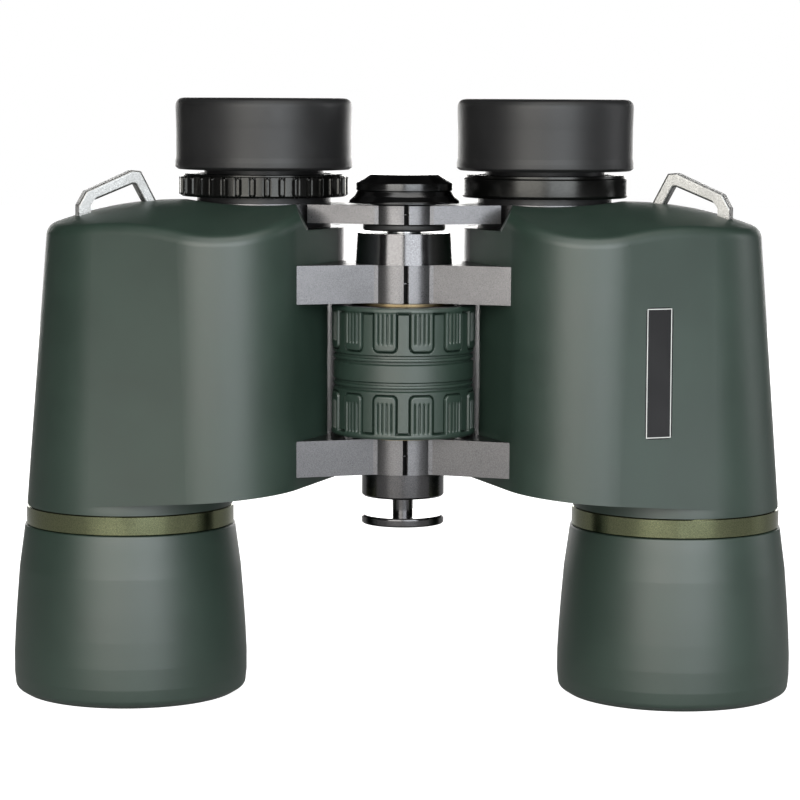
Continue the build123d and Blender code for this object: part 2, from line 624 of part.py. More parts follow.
def arm(side):
    """Ocular arm in the +X sense of its own side: nested hub, tapering blade, clamp ring."""
    blade = prismatic((
        (side * 0.1, LUG_FLAT_Y),
        (side * LUG_FLAT_X, LUG_FLAT_Y),
        (side * ARM_END_X, ARM_END_Y),
        (side * ARM_END_X, 0),
        (side * OCULAR_X, OCULAR_Y),
        (side * (OCULAR_X - 9), OCULAR_Y + 9),
        (side * LUG_FLAT_X, KNUCKLE_R),
    ), ARM_Z0, ARM_Z1)
    top = None
    if side == LEFT:
        top = turned((
            (0, ARM_Z1 - 1),
            (RING_R, ARM_Z1 - 1),
            (RING_R, ARM_Z1),
            (HUB_TOP_R + 0.9, ARM_Z1 + 0.7),
            (HUB_TOP_R + 0.2, ARM_Z1 + 1.5),
            (HUB_TOP_R, HUB_Z),
            (0, HUB_Z),
        ))
    hub = knuckle(side, ARM_Z0, ARM_Z1, side == RIGHT, SHAFT_R + SHAFT_FIT, blade, ring_top=top)
    ring = Pos(side * OCULAR_X, OCULAR_Y, 0) * rod(ARM_RING_R, ARM_Z0, ARM_Z1)
    bore = Pos(side * OCULAR_X, OCULAR_Y, 0) * rod(BARREL_R, ARM_Z0 - 1, ARM_Z1 + 1)
    return hub + ring - bore


def focus_shaft():
    """Focusing screw: the wheel's thread runs on it, and the bridge cap screws on its top."""
    return rod(SHAFT_R, SHAFT_Z0, CAP_Z0 + CAP_RIM_H)


def bridge_cap():
    cap = turned((
        (0, CAP_Z0),
        (CAP_R - 0.4, CAP_Z0),
        (CAP_R, CAP_Z0 + 0.4),
        (CAP_R, CAP_Z0 + CAP_RIM_H),
        (CAP_FLAT_R, CAP_Z1),
        (0, CAP_Z1),
    ))
    return cap - rod(SHAFT_R, CAP_Z0 - 1, CAP_Z0 + CAP_RIM_H)


def bridge_o_ring():
    ring = tube(O_RING_R, SHAFT_R + SHAFT_FIT, O_RING_Z0, ARM_Z0)
    return fillet(ring.edges().filter_by(GeomType.CIRCLE).sort_by(SortBy.RADIUS)[-2:], 0.6)


def focus_wheel_drum():
    """Metal drum: a rim and a hub threaded on the focus shaft, joined by a web at mid-height."""
    rim = tube(DRUM_R, DRUM_R - DRUM_WALL, WHEEL_Z0, WHEEL_Z1)
    web = rod(DRUM_R - DRUM_WALL / 2, WHEEL_MID_Z - DRUM_WEB_T / 2, WHEEL_MID_Z + DRUM_WEB_T / 2)
    hub = rod(DRUM_HUB_R, WHEEL_Z0, WHEEL_Z1)
    return rim + web + hub - rod(SHAFT_R + SHAFT_FIT, WHEEL_Z0 - 1, WHEEL_Z1 + 1)


def focus_wheel_grip():
    grip = tube(WHEEL_R, DRUM_R, WHEEL_Z0, WHEEL_Z1)
    for z in GROOVE_ZS:
        grip = grip - tube(WHEEL_R + 1, WHEEL_R - GROOVE_D, z - GROOVE_W / 2, z + GROOVE_W / 2)
    circles = grip.edges().filter_by(GeomType.CIRCLE)
    ends = [e for e in circles if e.radius > DRUM_R + 0.1 and e.center().Z in (WHEEL_Z0, WHEEL_Z1)]
    return chamfer(ends, 0.4)


def focus_thrust_washers():
    inner = SHAFT_R + 1
    low = tube(WASHER_R, inner, LUG_LOW_Z1 + WASHER_GAP, WHEEL_Z0)
    high = tube(WASHER_R, inner, WHEEL_Z1, LUG_HIGH_Z0 - WASHER_GAP)
    return [low, high]


# ---------------------------------------------------------------- tripod cap

def tripod_cap():
    disc = rod(CAP_DISC_R, CAP_DISC_Z0, CAP_DISC_Z1)
    disc = fillet(disc.edges().filter_by(GeomType.CIRCLE), 0.5)
    neck = rod(CAP_NECK_R, CAP_DISC_Z1, LOWER_COLLAR_Z)
    thread = rod(SOCKET_R - SOCKET_FIT, LOWER_COLLAR_Z, LOWER_COLLAR_Z + SOCKET_DEPTH - 1.5)
    return disc + neck + thread


def tripod_cap_washer():
    z1 = LOWER_COLLAR_Z
    return tube(SEAL_R, CAP_NECK_R + SOCKET_FIT, z1 - SEAL_T, z1)


# ---------------------------------------------------------------- writing the nodes

def write(name, shape):
    """One STEP per node, moved from the hinge axis to the frame's origin."""
    solids = shape if isinstance(shape, list) else shape.solids()
    placed = [Pos(0, HINGE_Y, 0) * solid for solid in solids]
    export_step(Compound(children=placed) if len(placed) > 1 else placed[0], f"parts/{name}.step")


def write_both(name, shape):
    """The same piece for the left half and, mirrored, for the right half."""
    write("left_" + name, shape)
    if isinstance(shape, list):
        write("right_" + name, [mirror(solid, Plane.YZ) for solid in shape])
    else:
        write("right_" + name, mirror(shape, Plane.YZ))


def write_half_shells():
    blank = casting_blank()
    write("left_prism_housing", prism_housing(LEFT, blank))
    write("right_prism_housing", mirror(prism_housing(RIGHT, blank), Plane.YZ))
    write("left_body_armour", body_armour(LEFT))
    write("right_body_armour", mirror(body_armour(RIGHT), Plane.YZ))
    write_both("ocular_cover_plate", ocular_cover_plate(blank))


def main():
    os.makedirs("parts", exist_ok=True)
    write_half_shells()
    for name, make in (
        ("strap_lug", strap_lug),
        ("cover_screws", cover_screws),
        ("upper_prism", upper_prism),
        ("lower_prism", lower_prism),
        ("prism_clips", prism_clips),
        ("prism_shelf", prism_shelf),
        ("objective_barrel", objective_barrel),
        ("objective_armour", objective_armour),
        ("objective_trim_ring", objective_trim_ring),
        ("crown_lens", crown_lens),
        ("flint_lens", flint_lens),
        ("lens_retainer", lens_retainer),
        ("eyepiece_barrel", eyepiece_barrel),
        ("eyepiece_cell", eyepiece_cell),
        ("eye_lens", eye_lens),
        ("field_lens", field_lens),
        ("eyecup_slip_ring", eyecup_slip_ring),
        ("eyecup_core", eyecup_core),
        ("eyecup", eyecup),
    ):
        write_both(name, make())
    write("left_name_plate", name_plate())
    write("left_eyepiece_ring", eye_ring(PLAIN_RING_R))
    write("right_diopter_ring", mirror(diopter_ring(), Plane.YZ))
    write("left_ocular_arm", arm(LEFT))
    write("right_ocular_arm", arm(RIGHT))
    for make in (
        upper_hinge_bush,
        lower_hinge_pin,
        focus_wheel_drum,
        focus_wheel_grip,
        focus_thrust_washers,
        focus_shaft,
        bridge_cap,
        bridge_o_ring,
        tripod_cap,
        tripod_cap_washer,
    ):
        write(make.__name__, make())


main()
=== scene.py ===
import json
import math

import bmesh
import bpy
from mathutils import Matrix, Vector


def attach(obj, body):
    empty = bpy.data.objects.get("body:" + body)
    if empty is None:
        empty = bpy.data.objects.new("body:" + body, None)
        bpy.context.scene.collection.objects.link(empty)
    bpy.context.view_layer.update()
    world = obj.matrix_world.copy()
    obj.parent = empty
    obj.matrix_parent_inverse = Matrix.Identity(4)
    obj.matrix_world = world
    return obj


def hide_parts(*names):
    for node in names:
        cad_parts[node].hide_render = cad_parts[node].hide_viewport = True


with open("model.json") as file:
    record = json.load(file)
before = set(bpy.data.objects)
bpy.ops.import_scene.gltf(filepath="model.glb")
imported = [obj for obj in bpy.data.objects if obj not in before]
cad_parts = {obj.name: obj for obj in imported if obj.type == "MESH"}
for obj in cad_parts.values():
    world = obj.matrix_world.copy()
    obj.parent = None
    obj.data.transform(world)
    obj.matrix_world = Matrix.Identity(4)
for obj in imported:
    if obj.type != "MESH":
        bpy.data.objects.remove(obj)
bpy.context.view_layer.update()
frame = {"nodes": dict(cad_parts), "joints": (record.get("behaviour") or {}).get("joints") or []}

# --- Castings ---------------------------------------------------------------------------------
# The two prism housings with their hinge lugs, the cover plates, the hinge bush and the hinge pin
# are die-cast and turned aluminium, bead-blasted and painted satin black. The lugs are milled flat
# and every outer edge is broken with a small radius. Over the hinge a thin black line is painted
# where the lugs meet: painted shade, standing in for the shade in the gap between them.
MM = 0.001
HALVES = ("right", "left")
GUNMETAL = (0.118, 0.116, 0.120, 1.0)
CAST_ROUGH = (0.28, 0.35)
TURNED_ROUGH = (0.15, 0.20)
# Place, half width and black of the painted shade line over the gap between the lugs at the hinge.
GAP_SHADE_X, GAP_SHADE_HALF_W, GAP_SHADE_BLACK = 0.45 * MM, 0.45 * MM, (0.004, 0.004, 0.004, 1.0)


class Wire:
    """An output in a node tree that adds its Math nodes when it is used in an expression."""

    def __init__(self, tree, socket):
        self.tree = tree
        self.socket = socket

    def maths(self, operation, *terms):
        settings = {"operation": operation}
        return Graph(self.tree).node("ShaderNodeMath", settings, dict(enumerate(terms)))

    def __add__(self, other):
        return self.maths("ADD", self, other)

    def __sub__(self, other):
        return self.maths("SUBTRACT", self, other)

    def __rsub__(self, other):
        return self.maths("SUBTRACT", other, self)

    def __mul__(self, other):
        return self.maths("MULTIPLY", self, other)

    def __truediv__(self, other):
        return self.maths("DIVIDE", self, other)

    def between(self, low, high):
        """0 below low, 1 above high, and smooth from one to the other."""
        settings = {"interpolation_type": "SMOOTHSTEP"}
        sockets = {"Value": self, "From Min": low, "From Max": high}
        return Graph(self.tree).node("ShaderNodeMapRange", settings, sockets)

    __radd__ = __add__
    __rmul__ = __mul__


class Graph:
    """A node tree that is filled one node at a time."""

    def __init__(self, tree):
        self.tree = tree

    def node(self, kind, settings=None, sockets=None, out=0):
        made = self.tree.nodes.new(kind)
        for name, value in (settings or {}).items():
            setattr(made, name, value)
        for name, value in (sockets or {}).items():
            self.plug(made.inputs[name], value)
        return Wire(self.tree, made.outputs[out]) if made.outputs else made

    def plug(self, socket, value):
        if isinstance(value, Wire):
            self.tree.links.new(value.socket, socket)
        else:
            socket.default_value = value


class Finish(Graph):
    """A material with one Principled shader; what varies over the surface is wired in afterwards."""

    def __init__(self, name, colour, roughness, metallic=0.0, **constants):
        self.material = bpy.data.materials.new(name)
        self.material.use_nodes = True
        super().__init__(self.material.node_tree)
        self.shader = next(n for n in self.tree.nodes if n.type == "BSDF_PRINCIPLED")
        self.place = self.node("ShaderNodeTexCoord", out="Object")
        self.set("Base Color", colour)
        self.set("Roughness", roughness)
        self.set("Metallic", metallic)
        for socket, value in constants.items():
            self.set(socket.replace("_", " "), value)

    def set(self, socket, value):
        self.plug(self.shader.inputs[socket], value)

    def noise(self, size, detail=3.0, roughness=0.5):
        """Noise whose patches are about size metres across."""
        sockets = {"Vector": self.place, "Scale": 1 / size}
        sockets.update({"Detail": detail, "Roughness": roughness})
        return self.node("ShaderNodeTexNoise", None, sockets)

    def blend(self, factor, low, high):
        settings = {"data_type": "RGBA", "clamp_factor": True}
        return self.node("ShaderNodeMix", settings, {0: factor, 6: low, 7: high}, out=2)

    def bump(self, height, depth):
        sockets = {"Height": height, "Distance": depth, "Strength": 1.0}
        return self.node("ShaderNodeBump", None, sockets)


def tinted(colour, share):
    """The colour made lighter or darker by share."""
    return tuple(min(1.0, channel * share) for channel in colour[:3]) + (1.0,)


def blasted_metal(name, colour, rough, metallic=0.0, grain=0.22 * MM, depth=0.010 * MM,
                  **constants):
    """Painted or anodised metal over a bead-blasted surface: fine grain, faint handling marks."""
    finish = Finish(name, colour, rough[0], metallic, **constants)
    fine = finish.noise(grain, 2.0)
    patches = finish.noise(9 * MM, 4.0, 0.6)
    rubbed = patches.between(0.42, 0.68)
    dark, light = tinted(colour, 0.86), tinted(colour, 1.16)
    finish.set("Base Color", finish.blend(fine.between(0.35, 0.65), dark, light))
    finish.set("Roughness", rubbed * (rough[1] - rough[0]) + rough[0] + fine * 0.04 - 0.02)
    finish.set("Normal", finish.bump(fine, depth))
    return finish


def dress(finish, *nodes):
    for name in nodes:
        mesh = frame["nodes"][name].data
        mesh.materials.clear()
        mesh.materials.append(finish.material)


def both(*names):
    return [f"{half}_{name}" for half in HALVES for name in names]


gunmetal = blasted_metal("gunmetal_casting", GUNMETAL, CAST_ROUGH, 1.0)
painted = Wire(gunmetal.tree, gunmetal.shader.inputs["Base Color"].links[0].from_socket)
across_hinge = gunmetal.tree.nodes.new("ShaderNodeSeparateXYZ")
gunmetal.plug(across_hinge.inputs[0], gunmetal.place)
beside = Wire(gunmetal.tree, across_hinge.outputs["X"]) - GAP_SHADE_X
beside = beside.maths("ABSOLUTE", beside)
# Painted shade: a black line down the lugs over the hinge, standing in for the shade in the gap between the
# two halves.
gap_shade = 1.0 - beside.between(GAP_SHADE_HALF_W, GAP_SHADE_HALF_W + 0.08 * MM)
gunmetal.set("Base Color", gunmetal.blend(gap_shade, painted, GAP_SHADE_BLACK))
turned_metal = blasted_metal("turned_hinge_metal", tinted(GUNMETAL, 0.8), TURNED_ROUGH, 1.0,
                             depth=0.004 * MM)
dress(gunmetal, *both("prism_housing", "ocular_cover_plate"))
dress(turned_metal, "upper_hinge_bush", "lower_hinge_pin")

# --- Prisms and their fittings ----------------------------------------------------------------
# Each half holds two right-angle glass prisms on an aluminium shelf, held down by spring straps,
# with countersunk steel screws in the cover. None of it shows until the binoculars come apart.
GLASS = (0.86, 0.93, 0.91, 1.0)
STEEL = (0.52, 0.52, 0.53, 1.0)


def optical_glass(name, colour, ior):
    finish = Finish(name, colour, 0.02, 0.0, IOR=ior, Transmission_Weight=1.0)
    finish.set("Roughness", finish.noise(6 * MM).between(0.3, 0.7) * 0.03 + 0.01)
    return finish


prism_glass = optical_glass("prism_glass", GLASS, 1.57)
spring_steel = blasted_metal("spring_steel", STEEL, (0.24, 0.34), 1.0, grain=0.4 * MM)
dress(prism_glass, *both("upper_prism", "lower_prism", "flint_lens", "field_lens"))
dress(spring_steel, *both("prism_clips", "cover_screws"), "focus_shaft")

# --- Objectives -------------------------------------------------------------------------------
# A black anodised tube screws into each casting and holds a cemented pair of lenses behind a
# threaded ring. The front lens has a green-blue coating. A turned ring with a fine metallic paint
# closes the joint above the rubber sleeve.
TUBE_BLACK = (0.018, 0.018, 0.019, 1.0)
TRIM_PAINT = (0.155, 0.168, 0.098, 1.0)
COATING, COATING_TURNED = (0.30, 0.62, 0.55, 1.0), (0.42, 0.40, 0.66, 1.0)

tube_black = blasted_metal("black_anodised_tube", TUBE_BLACK, (0.42, 0.55), 0.2)
dress(tube_black, *both("objective_barrel", "lens_retainer", "prism_shelf"))
dress(tube_black, *both("eyepiece_barrel", "eyepiece_cell"))

coated_glass = Finish("coated_lens", COATING, 0.03, 0.0, IOR=1.6, Transmission_Weight=0.85)
cast = coated_glass.noise(14 * MM).between(0.3, 0.7)
coated_glass.set("Base Color", coated_glass.blend(cast, COATING, COATING_TURNED))
dress(coated_glass, *both("crown_lens", "eye_lens"))

trim_paint = blasted_metal("metallic_trim_paint", TRIM_PAINT, (0.15, 0.20), 1.0,
                           grain=0.28 * MM, depth=0.006 * MM)
dress(trim_paint, *both("objective_trim_ring"))

# --- Rubber armour ----------------------------------------------------------------------------
# Dark green soft-touch rubber, moulded over the housings and the objective tubes. It has a very
# fine matt grain, and is a little smoother where hands rub it.
GREEN_RUBBER = (0.0105, 0.0235, 0.0165, 1.0)


def soft_rubber(name, colour, rough, shine, grain=0.16 * MM, depth=0.012 * MM):
    finish = Finish(name, colour, rough[0], 0.0, Specular_IOR_Level=shine)
    fine = finish.noise(grain, 2.0, 0.6)
    patches = finish.noise(16 * MM, 4.0, 0.6)
    dark, light = tinted(colour, 0.92), tinted(colour, 1.10)
    finish.set("Base Color", finish.blend(patches.between(0.3, 0.7), dark, light))
    duller = patches.between(0.35, 0.7) * (rough[1] - rough[0]) + rough[0]
    finish.set("Roughness", duller + fine * 0.06 - 0.03)
    finish.set("Normal", finish.bump(fine, depth))
    return finish


green_rubber = soft_rubber("green_armour_rubber", GREEN_RUBBER, (0.44, 0.48), 0.70)
dress(green_rubber, *both("body_armour"))

# --- Objective sleeves ------------------------------------------------------------------------
# The rubber sleeve of each objective flares toward a soft rounded rim that the binoculars stand
# on. It is moulded round the tube, so every section across it is a circle.
HINGE_Y = frame["joints"][0]["pos_m"][1]
OBJECTIVE = Vector((65.0 * MM, 5.0 * MM + HINGE_Y, 0.0))
SLEEVE_PROFILE = (       # radius, height, corner radius in mm
    (22.6, 1.6, 0.0), (22.6, 0.6, 0.2), (23.2, 0.0, 0.2), (25.2, 0.0, 0.5), (27.35, 1.3, 1.6),
    (27.7, 4.6, 3.0), (27.7, 9.5, 6.0), (27.4, 15.7, 6.0), (27.0, 21.5, 6.0), (26.3, 30.2, 6.0),
    (25.5, 36.0, 6.0), (24.95, 40.2, 0.35), (22.6, 40.2, 0.0), (24.0, 36.0, 0.0), (24.0, 1.6, 0.0),
)
ARC_STEPS = 5
PLAIN_REPEATS = 36
SHARP = math.radians(38)
WELD = 0.002 * MM


def rounded(points):
    """Closed outline in metres from (radius, height, corner radius) in millimetres."""
    outline = []
    for index, (r, z, corner) in enumerate(points):
        here = Vector((r, z))
        to_last = Vector(points[index - 1][:2]) - here
        to_next = Vector(points[(index + 1) % len(points)][:2]) - here
        if corner <= 0:
            outline.append(here * MM)
            continue
        half = to_last.angle(to_next) / 2
        reach = min(corner / math.tan(half), to_last.length * 0.49, to_next.length * 0.49)
        start = here + to_last.normalized() * reach
        end = here + to_next.normalized() * reach
        for step in range(ARC_STEPS + 1):
            t = step / ARC_STEPS
            outline.append(((1 - t) ** 2 * start + 2 * t * (1 - t) * here + t * t * end) * MM)
    return [(point.x, point.y) for point in outline]


def sector_mesh(name, angles, outline, shape=None):
    """One repeat of a ring: the closed outline at each angle, its outer face moved by shape."""
    rows = []
    for angle in angles:
        for r, z in outline:
            if shape:
                r = shape(angle, r, z)
            rows.append((r * math.cos(angle), r * math.sin(angle), z))
    count = len(outline)
    faces = []
    for column in range(len(angles) - 1):
        for k in range(count):
            following = (k + 1) % count
            a, b = column * count, (column + 1) * count
            faces.append((a + k, b + k, b + following, a + following))
    mesh = bpy.data.meshes.new(name)
    mesh.from_pydata(rows, [], faces)
    return mesh


def ring_tree(name, material):
    """Copies a sector round the vertical axis and welds the copies; takes Count and Centre."""
    tree = bpy.data.node_groups.new(name, "GeometryNodeTree")
    for socket, kind in (("Geometry", "Geometry"), ("Count", "Int"), ("Centre", "Vector")):
        tree.interface.new_socket(socket, in_out="INPUT", socket_type="NodeSocket" + kind)
    tree.interface.new_socket("Geometry", in_out="OUTPUT", socket_type="NodeSocketGeometry")
    graph = Graph(tree)
    given = tree.nodes.new("NodeGroupInput")
    wanted = ("Geometry", "Count", "Centre")
    sector, count, centre = (Wire(tree, given.outputs[name]) for name in wanted)
    places = graph.node("GeometryNodePoints", None, {"Count": count})
    turn = graph.node("GeometryNodeInputIndex") * (2 * math.pi) / count
    spin = graph.node("ShaderNodeCombineXYZ", None, {"Z": turn})
    sockets = {"Points": places, "Instance": sector, "Rotation": spin}
    copies = graph.node("GeometryNodeInstanceOnPoints", None, sockets)
    solid = graph.node("GeometryNodeRealizeInstances", None, {"Geometry": copies})
    sockets = {"Geometry": solid, "Distance": WELD}
    welded = graph.node("GeometryNodeMergeByDistance", None, sockets)
    sockets = {"Geometry": welded, "Translation": centre}
    moved = graph.node("GeometryNodeTransform", None, sockets)
    sockets = {"Geometry": moved, "Material": material}
    coated = graph.node("GeometryNodeSetMaterial", None, sockets)
    graph.plug(tree.nodes.new("NodeGroupOutput").inputs["Geometry"], coated)
    return tree


def ring_piece(name, sector, count, centre, finish, body, *replaced):
    """A ring of count sectors about the upright line through centre, in place of the CAD nodes."""
    blank = bpy.data.objects.new(name + "_sector", sector)
    bpy.context.scene.collection.objects.link(blank)
    ring = blank.modifiers.new("ring", "NODES")
    ring.node_group = ring_tree(name + "_ring", finish.material)
    wanted = {"Count": count, "Centre": centre}
    for item in ring.node_group.interface.items_tree:
        if item.in_out == "INPUT" and item.name in wanted:
            ring[item.identifier] = wanted[item.name]
    blank.data.update()
    evaluated = blank.evaluated_get(bpy.context.evaluated_depsgraph_get())
    mesh = bpy.data.meshes.new_from_object(evaluated)
    bpy.data.objects.remove(blank)
    mesh.name = name
    mesh.shade_smooth()
    mesh.set_sharp_from_angle(angle=SHARP)
    piece = bpy.data.objects.new(name, mesh)
    bpy.context.scene.collection.objects.link(piece)
    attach(piece, body)
    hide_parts(*replaced)
    return piece


def plain_angles(repeats, steps=3):
    return [2 * math.pi / repeats * step / steps for step in range(steps + 1)]


def across(point):
    """The same place in the right half."""
    return Vector((-point.x, point.y, point.z))


def pair(name, outline, centre, finish, bodies):
    """A turned piece in both halves."""
    for half, body in zip(HALVES, bodies):
        place = across(centre) if half == "right" else centre
        sector = sector_mesh(f"{half}_{name}_sector", plain_angles(PLAIN_REPEATS), outline)
        piece = ring_piece(f"{half}_{name}_look", sector, PLAIN_REPEATS, place, finish, body,
                           f"{half}_{name}")


pair("objective_armour", rounded(SLEEVE_PROFILE), OBJECTIVE, green_rubber,
     ("right_half", "left_half"))

# --- Strap lugs -------------------------------------------------------------------------------
# Cast metal loops with a light grey sparkle paint, pinned into the housings' outer shoulders.
LUG_GREY = (0.21, 0.21, 0.206, 1.0)
lug_paint = blasted_metal("sparkle_grey_paint", LUG_GREY, (0.26, 0.34), 0.85,
                          grain=0.3 * MM, depth=0.03 * MM)
dress(lug_paint, *both("strap_lug"))

# --- Eyepieces --------------------------------------------------------------------------------
# The right eyepiece carries the ribbed diopter ring, the left a plain one; both are satin metal.
# The diopter ring's upright ribs have round ends and stand in a fine milled outline.
RING_METAL = (0.028, 0.028, 0.027, 1.0)
OCULAR = Vector((33.6 * MM, 14.0 * MM + HINGE_Y, 0.0))
RIBS = 36
RIB_HALF_W, RIB_HALF_H, RIB_MIDDLE = 0.50 * MM, 2.15 * MM, 120.2 * MM
RIB_RISE, RIB_OUTLINE, RIB_MOAT = 0.32 * MM, 0.30 * MM, 0.22 * MM
RIB_COLUMNS, RIB_ROWS = 18, 26
FACE_R, FACE_TOP = 19.9 * MM, 122.5 * MM
DIOPTER_PROFILE = (
    (16.1, 117.7, 0.0), (19.5, 117.7, 0.3), (19.9, 118.2, 0.0), (19.9, 122.5, 0.0),
    (19.4, 122.6, 0.15), (19.3, 123.1, 0.2), (16.1, 123.1, 0.0),
)
PLAIN_RING_PROFILE = (
    (16.1, 117.7, 0.0), (19.5, 117.7, 0.3), (19.95, 118.3, 0.3), (19.95, 122.2, 0.25),
    (19.4, 122.45, 0.15), (19.3, 123.1, 0.2), (16.1, 123.1, 0.0),
)


def smooth(value, low, high):
    t = min(1.0, max(0.0, (value - low) / (high - low)))
    return t * t * (3 - 2 * t)


def box_distance(u, v, half_u, half_v, corner):
    """Distance outside a rectangle with round corners, negative inside."""
    a, b = abs(u) - half_u + corner, abs(v) - half_v + corner
    return math.hypot(max(a, 0), max(b, 0)) + min(max(a, b), 0) - corner


def span(low, high, steps):
    return [low + (high - low) * step / steps for step in range(steps + 1)]


def diopter_face(angle, r, z):
    if r < FACE_R - 0.05 * MM:
        return r
    along = (angle - math.pi / RIBS) * r
    d = box_distance(along, z - RIB_MIDDLE, RIB_HALF_W, RIB_HALF_H, RIB_HALF_W)
    rib = RIB_RISE * (1 - smooth(d, -0.14 * MM, 0.03 * MM))
    moat = RIB_MOAT * smooth(d, -0.02 * MM, 0.08 * MM)
    moat *= 1 - smooth(d, RIB_OUTLINE - 0.1 * MM, RIB_OUTLINE)
    return r + rib - moat


ring_metal = blasted_metal("satin_ring_metal", RING_METAL, (0.20, 0.27), 0.95)
diopter_outline = []
for r, z in rounded(DIOPTER_PROFILE):
    on_face = abs(r - FACE_R) < 0.001 * MM
    if on_face and z < RIB_MIDDLE:
        diopter_outline += [(r, height) for height in span(z, FACE_TOP, RIB_ROWS)]
    elif not on_face:
        diopter_outline.append((r, z))
rib_angles = plain_angles(RIBS, RIB_COLUMNS)
ribbed = sector_mesh("diopter_sector", rib_angles, diopter_outline, diopter_face)
ring_piece("right_diopter_ring_look", ribbed, RIBS, across(OCULAR), ring_metal, "diopter_ring",
           "right_diopter_ring")
plain_outline = rounded(PLAIN_RING_PROFILE)
plain_ring = sector_mesh("plain_ring_sector", plain_angles(PLAIN_REPEATS), plain_outline)
ring_piece("left_eyepiece_ring_look", plain_ring, PLAIN_REPEATS, OCULAR, ring_metal,
           "left_bridge_arm", "left_eyepiece_ring")

# --- Eyecups ----------------------------------------------------------------------------------
# Black rubber cups on metal sleeves that twist up on a plastic key ring.
BLACK_RUBBER = (0.009, 0.009, 0.0094, 1.0)
KEY_BLACK = (0.03, 0.03, 0.03, 1.0)
EYECUP_PROFILE = (
    (17.25, 124.1, 0.0), (20.4, 124.1, 0.3), (21.15, 124.7, 0.5), (21.1, 125.9, 0.8),
    (20.9, 127.0, 1.5), (20.9, 134.0, 4.0), (21.1, 141.0, 2.2), (15.4, 141.0, 1.3),
    (15.4, 138.7, 0.2), (17.25, 138.7, 0.0),
)
black_rubber = soft_rubber("black_eyecup_rubber", BLACK_RUBBER, (0.42, 0.50), 0.36)
dress(black_rubber, "bridge_o_ring")
pair("eyecup", rounded(EYECUP_PROFILE), OCULAR, black_rubber, ("right_eyecup", "left_eyecup"))
key_plastic = blasted_metal("key_plastic", KEY_BLACK, (0.45, 0.6), 0.0)
dress(key_plastic, *both("eyecup_slip_ring"), "tripod_cap_washer")
dress(tube_black, *both("eyecup_core"))

# --- Focusing bridge --------------------------------------------------------------------------
# Two cast arms carry the eyepieces and pivot on top of the focus shaft, under a turned cap. The
# cap's skirt flares out over the arms' hub and hides the end of the shaft.
CAP_BLACK = (0.045, 0.045, 0.046, 1.0)
cap_metal = blasted_metal("black_turned_metal", CAP_BLACK, (0.18, 0.24), 1.0)
dress(gunmetal, *both("ocular_arm"))
HINGE_LINE = Vector((0.0, HINGE_Y, 0.0))
CAP_PROFILE = (
    (4.1, 119.7, 0.0), (6.6, 119.7, 0.0), (7.2, 116.7, 0.0), (13.1, 116.7, 0.2), (12.9, 117.2, 0.4),
    (11.6, 118.4, 1.5), (11.0, 119.5, 0.1), (11.25, 119.75, 0.1), (11.25, 121.4, 0.25),
    (8.0, 123.4, 0.4), (0.05, 123.4, 0.0), (0.05, 121.45, 0.0), (4.1, 121.45, 0.0),
)
cap_sector = sector_mesh("bridge_cap_sector", plain_angles(PLAIN_REPEATS), rounded(CAP_PROFILE))
ring_piece("bridge_cap_look", cap_sector, PLAIN_REPEATS, HINGE_LINE, cap_metal,
           "right_bridge_arm", "bridge_cap")

# --- Focus wheel ------------------------------------------------------------------------------
# An aluminium drum between dull oiled brass washers, with a moulded green rubber grip. The grip's mould has
# twelve repeats: in each row a ribbed tab hangs from the rim, outlined by a groove, and a plain bar
# stands between two tabs. Two fine grooves part each row from the band round the middle.
PADS = 12
GRIP_R, GRIP_INNER_R = 17.0 * MM, 15.62 * MM
GRIP_LOW, GRIP_HIGH = 62.6 * MM, 93.0 * MM
BASE_SINK, TAB_SINK = 0.50 * MM, 0.12 * MM
RIM_T, TAB_END, TAB_HALF_W, TAB_CORNER = 1.1 * MM, 10.0 * MM, 2.72 * MM, 1.1 * MM
MOAT_W, MOAT_D = 0.34 * MM, 0.75 * MM
RIB_PITCH, RIB_GAP_HALF_W, RIB_GAP_D, RIB_STOP = 1.09 * MM, 0.30 * MM, 0.50 * MM, 1.35 * MM
RING_GROOVES = (11.4 * MM, 12.8 * MM)
GROOVE_HALF_W, GROOVE_DEPTH = 0.34 * MM, 0.55 * MM
EDGE = 0.11 * MM
TIP_LENGTH = 0.8 * MM
GRIP_COLUMNS = 58


def grip_face(angle, r, z):
    """Radius of the grip: angle runs from one bar's middle to the next, with the tab half-way."""
    if r < GRIP_R - 0.001 * MM:
        return r
    depth = min(z - GRIP_LOW, GRIP_HIGH - z)
    along = (angle - math.pi / PADS) * GRIP_R
    tab_middle = (TAB_END - RIM_T) / 2 - TAB_CORNER
    tab_half = (TAB_END + RIM_T) / 2 + TAB_CORNER
    d = box_distance(along, depth - tab_middle, TAB_HALF_W, tab_half, TAB_CORNER)
    sink = BASE_SINK + (TAB_SINK - BASE_SINK) * (1 - smooth(d, -2 * EDGE, EDGE))
    sink += MOAT_D * smooth(d, 0.0, EDGE) * (1 - smooth(d, MOAT_W - EDGE, MOAT_W + EDGE))
    tip = smooth(depth, RIM_T, RIM_T + TIP_LENGTH)
    tip *= 1 - smooth(depth, TAB_END - RIB_STOP - TIP_LENGTH, TAB_END - RIB_STOP)
    for step in (-1.5, -0.5, 0.5, 1.5):
        beside_gap = abs(along - step * RIB_PITCH)
        sink += RIB_GAP_D * tip * (1 - smooth(beside_gap, 0.0, RIB_GAP_HALF_W))
    for place in RING_GROOVES:
        beside_groove = abs(depth - place)
        inside = 1 - smooth(beside_groove, GROOVE_HALF_W - EDGE, GROOVE_HALF_W + EDGE)
        sink += GROOVE_DEPTH * inside
    rim = 1 - smooth(depth, RIM_T - EDGE, RIM_T + EDGE)
    notch = MOAT_D * (1 - smooth(abs(depth - RIM_T - MOAT_W / 2), 0.0, MOAT_W))
    notch *= smooth(d, 0.0, EDGE)
    edge = 0.35 * MM * (1 - smooth(depth, 0.0, 0.4 * MM))
    return r - sink * (1 - rim) - notch - edge


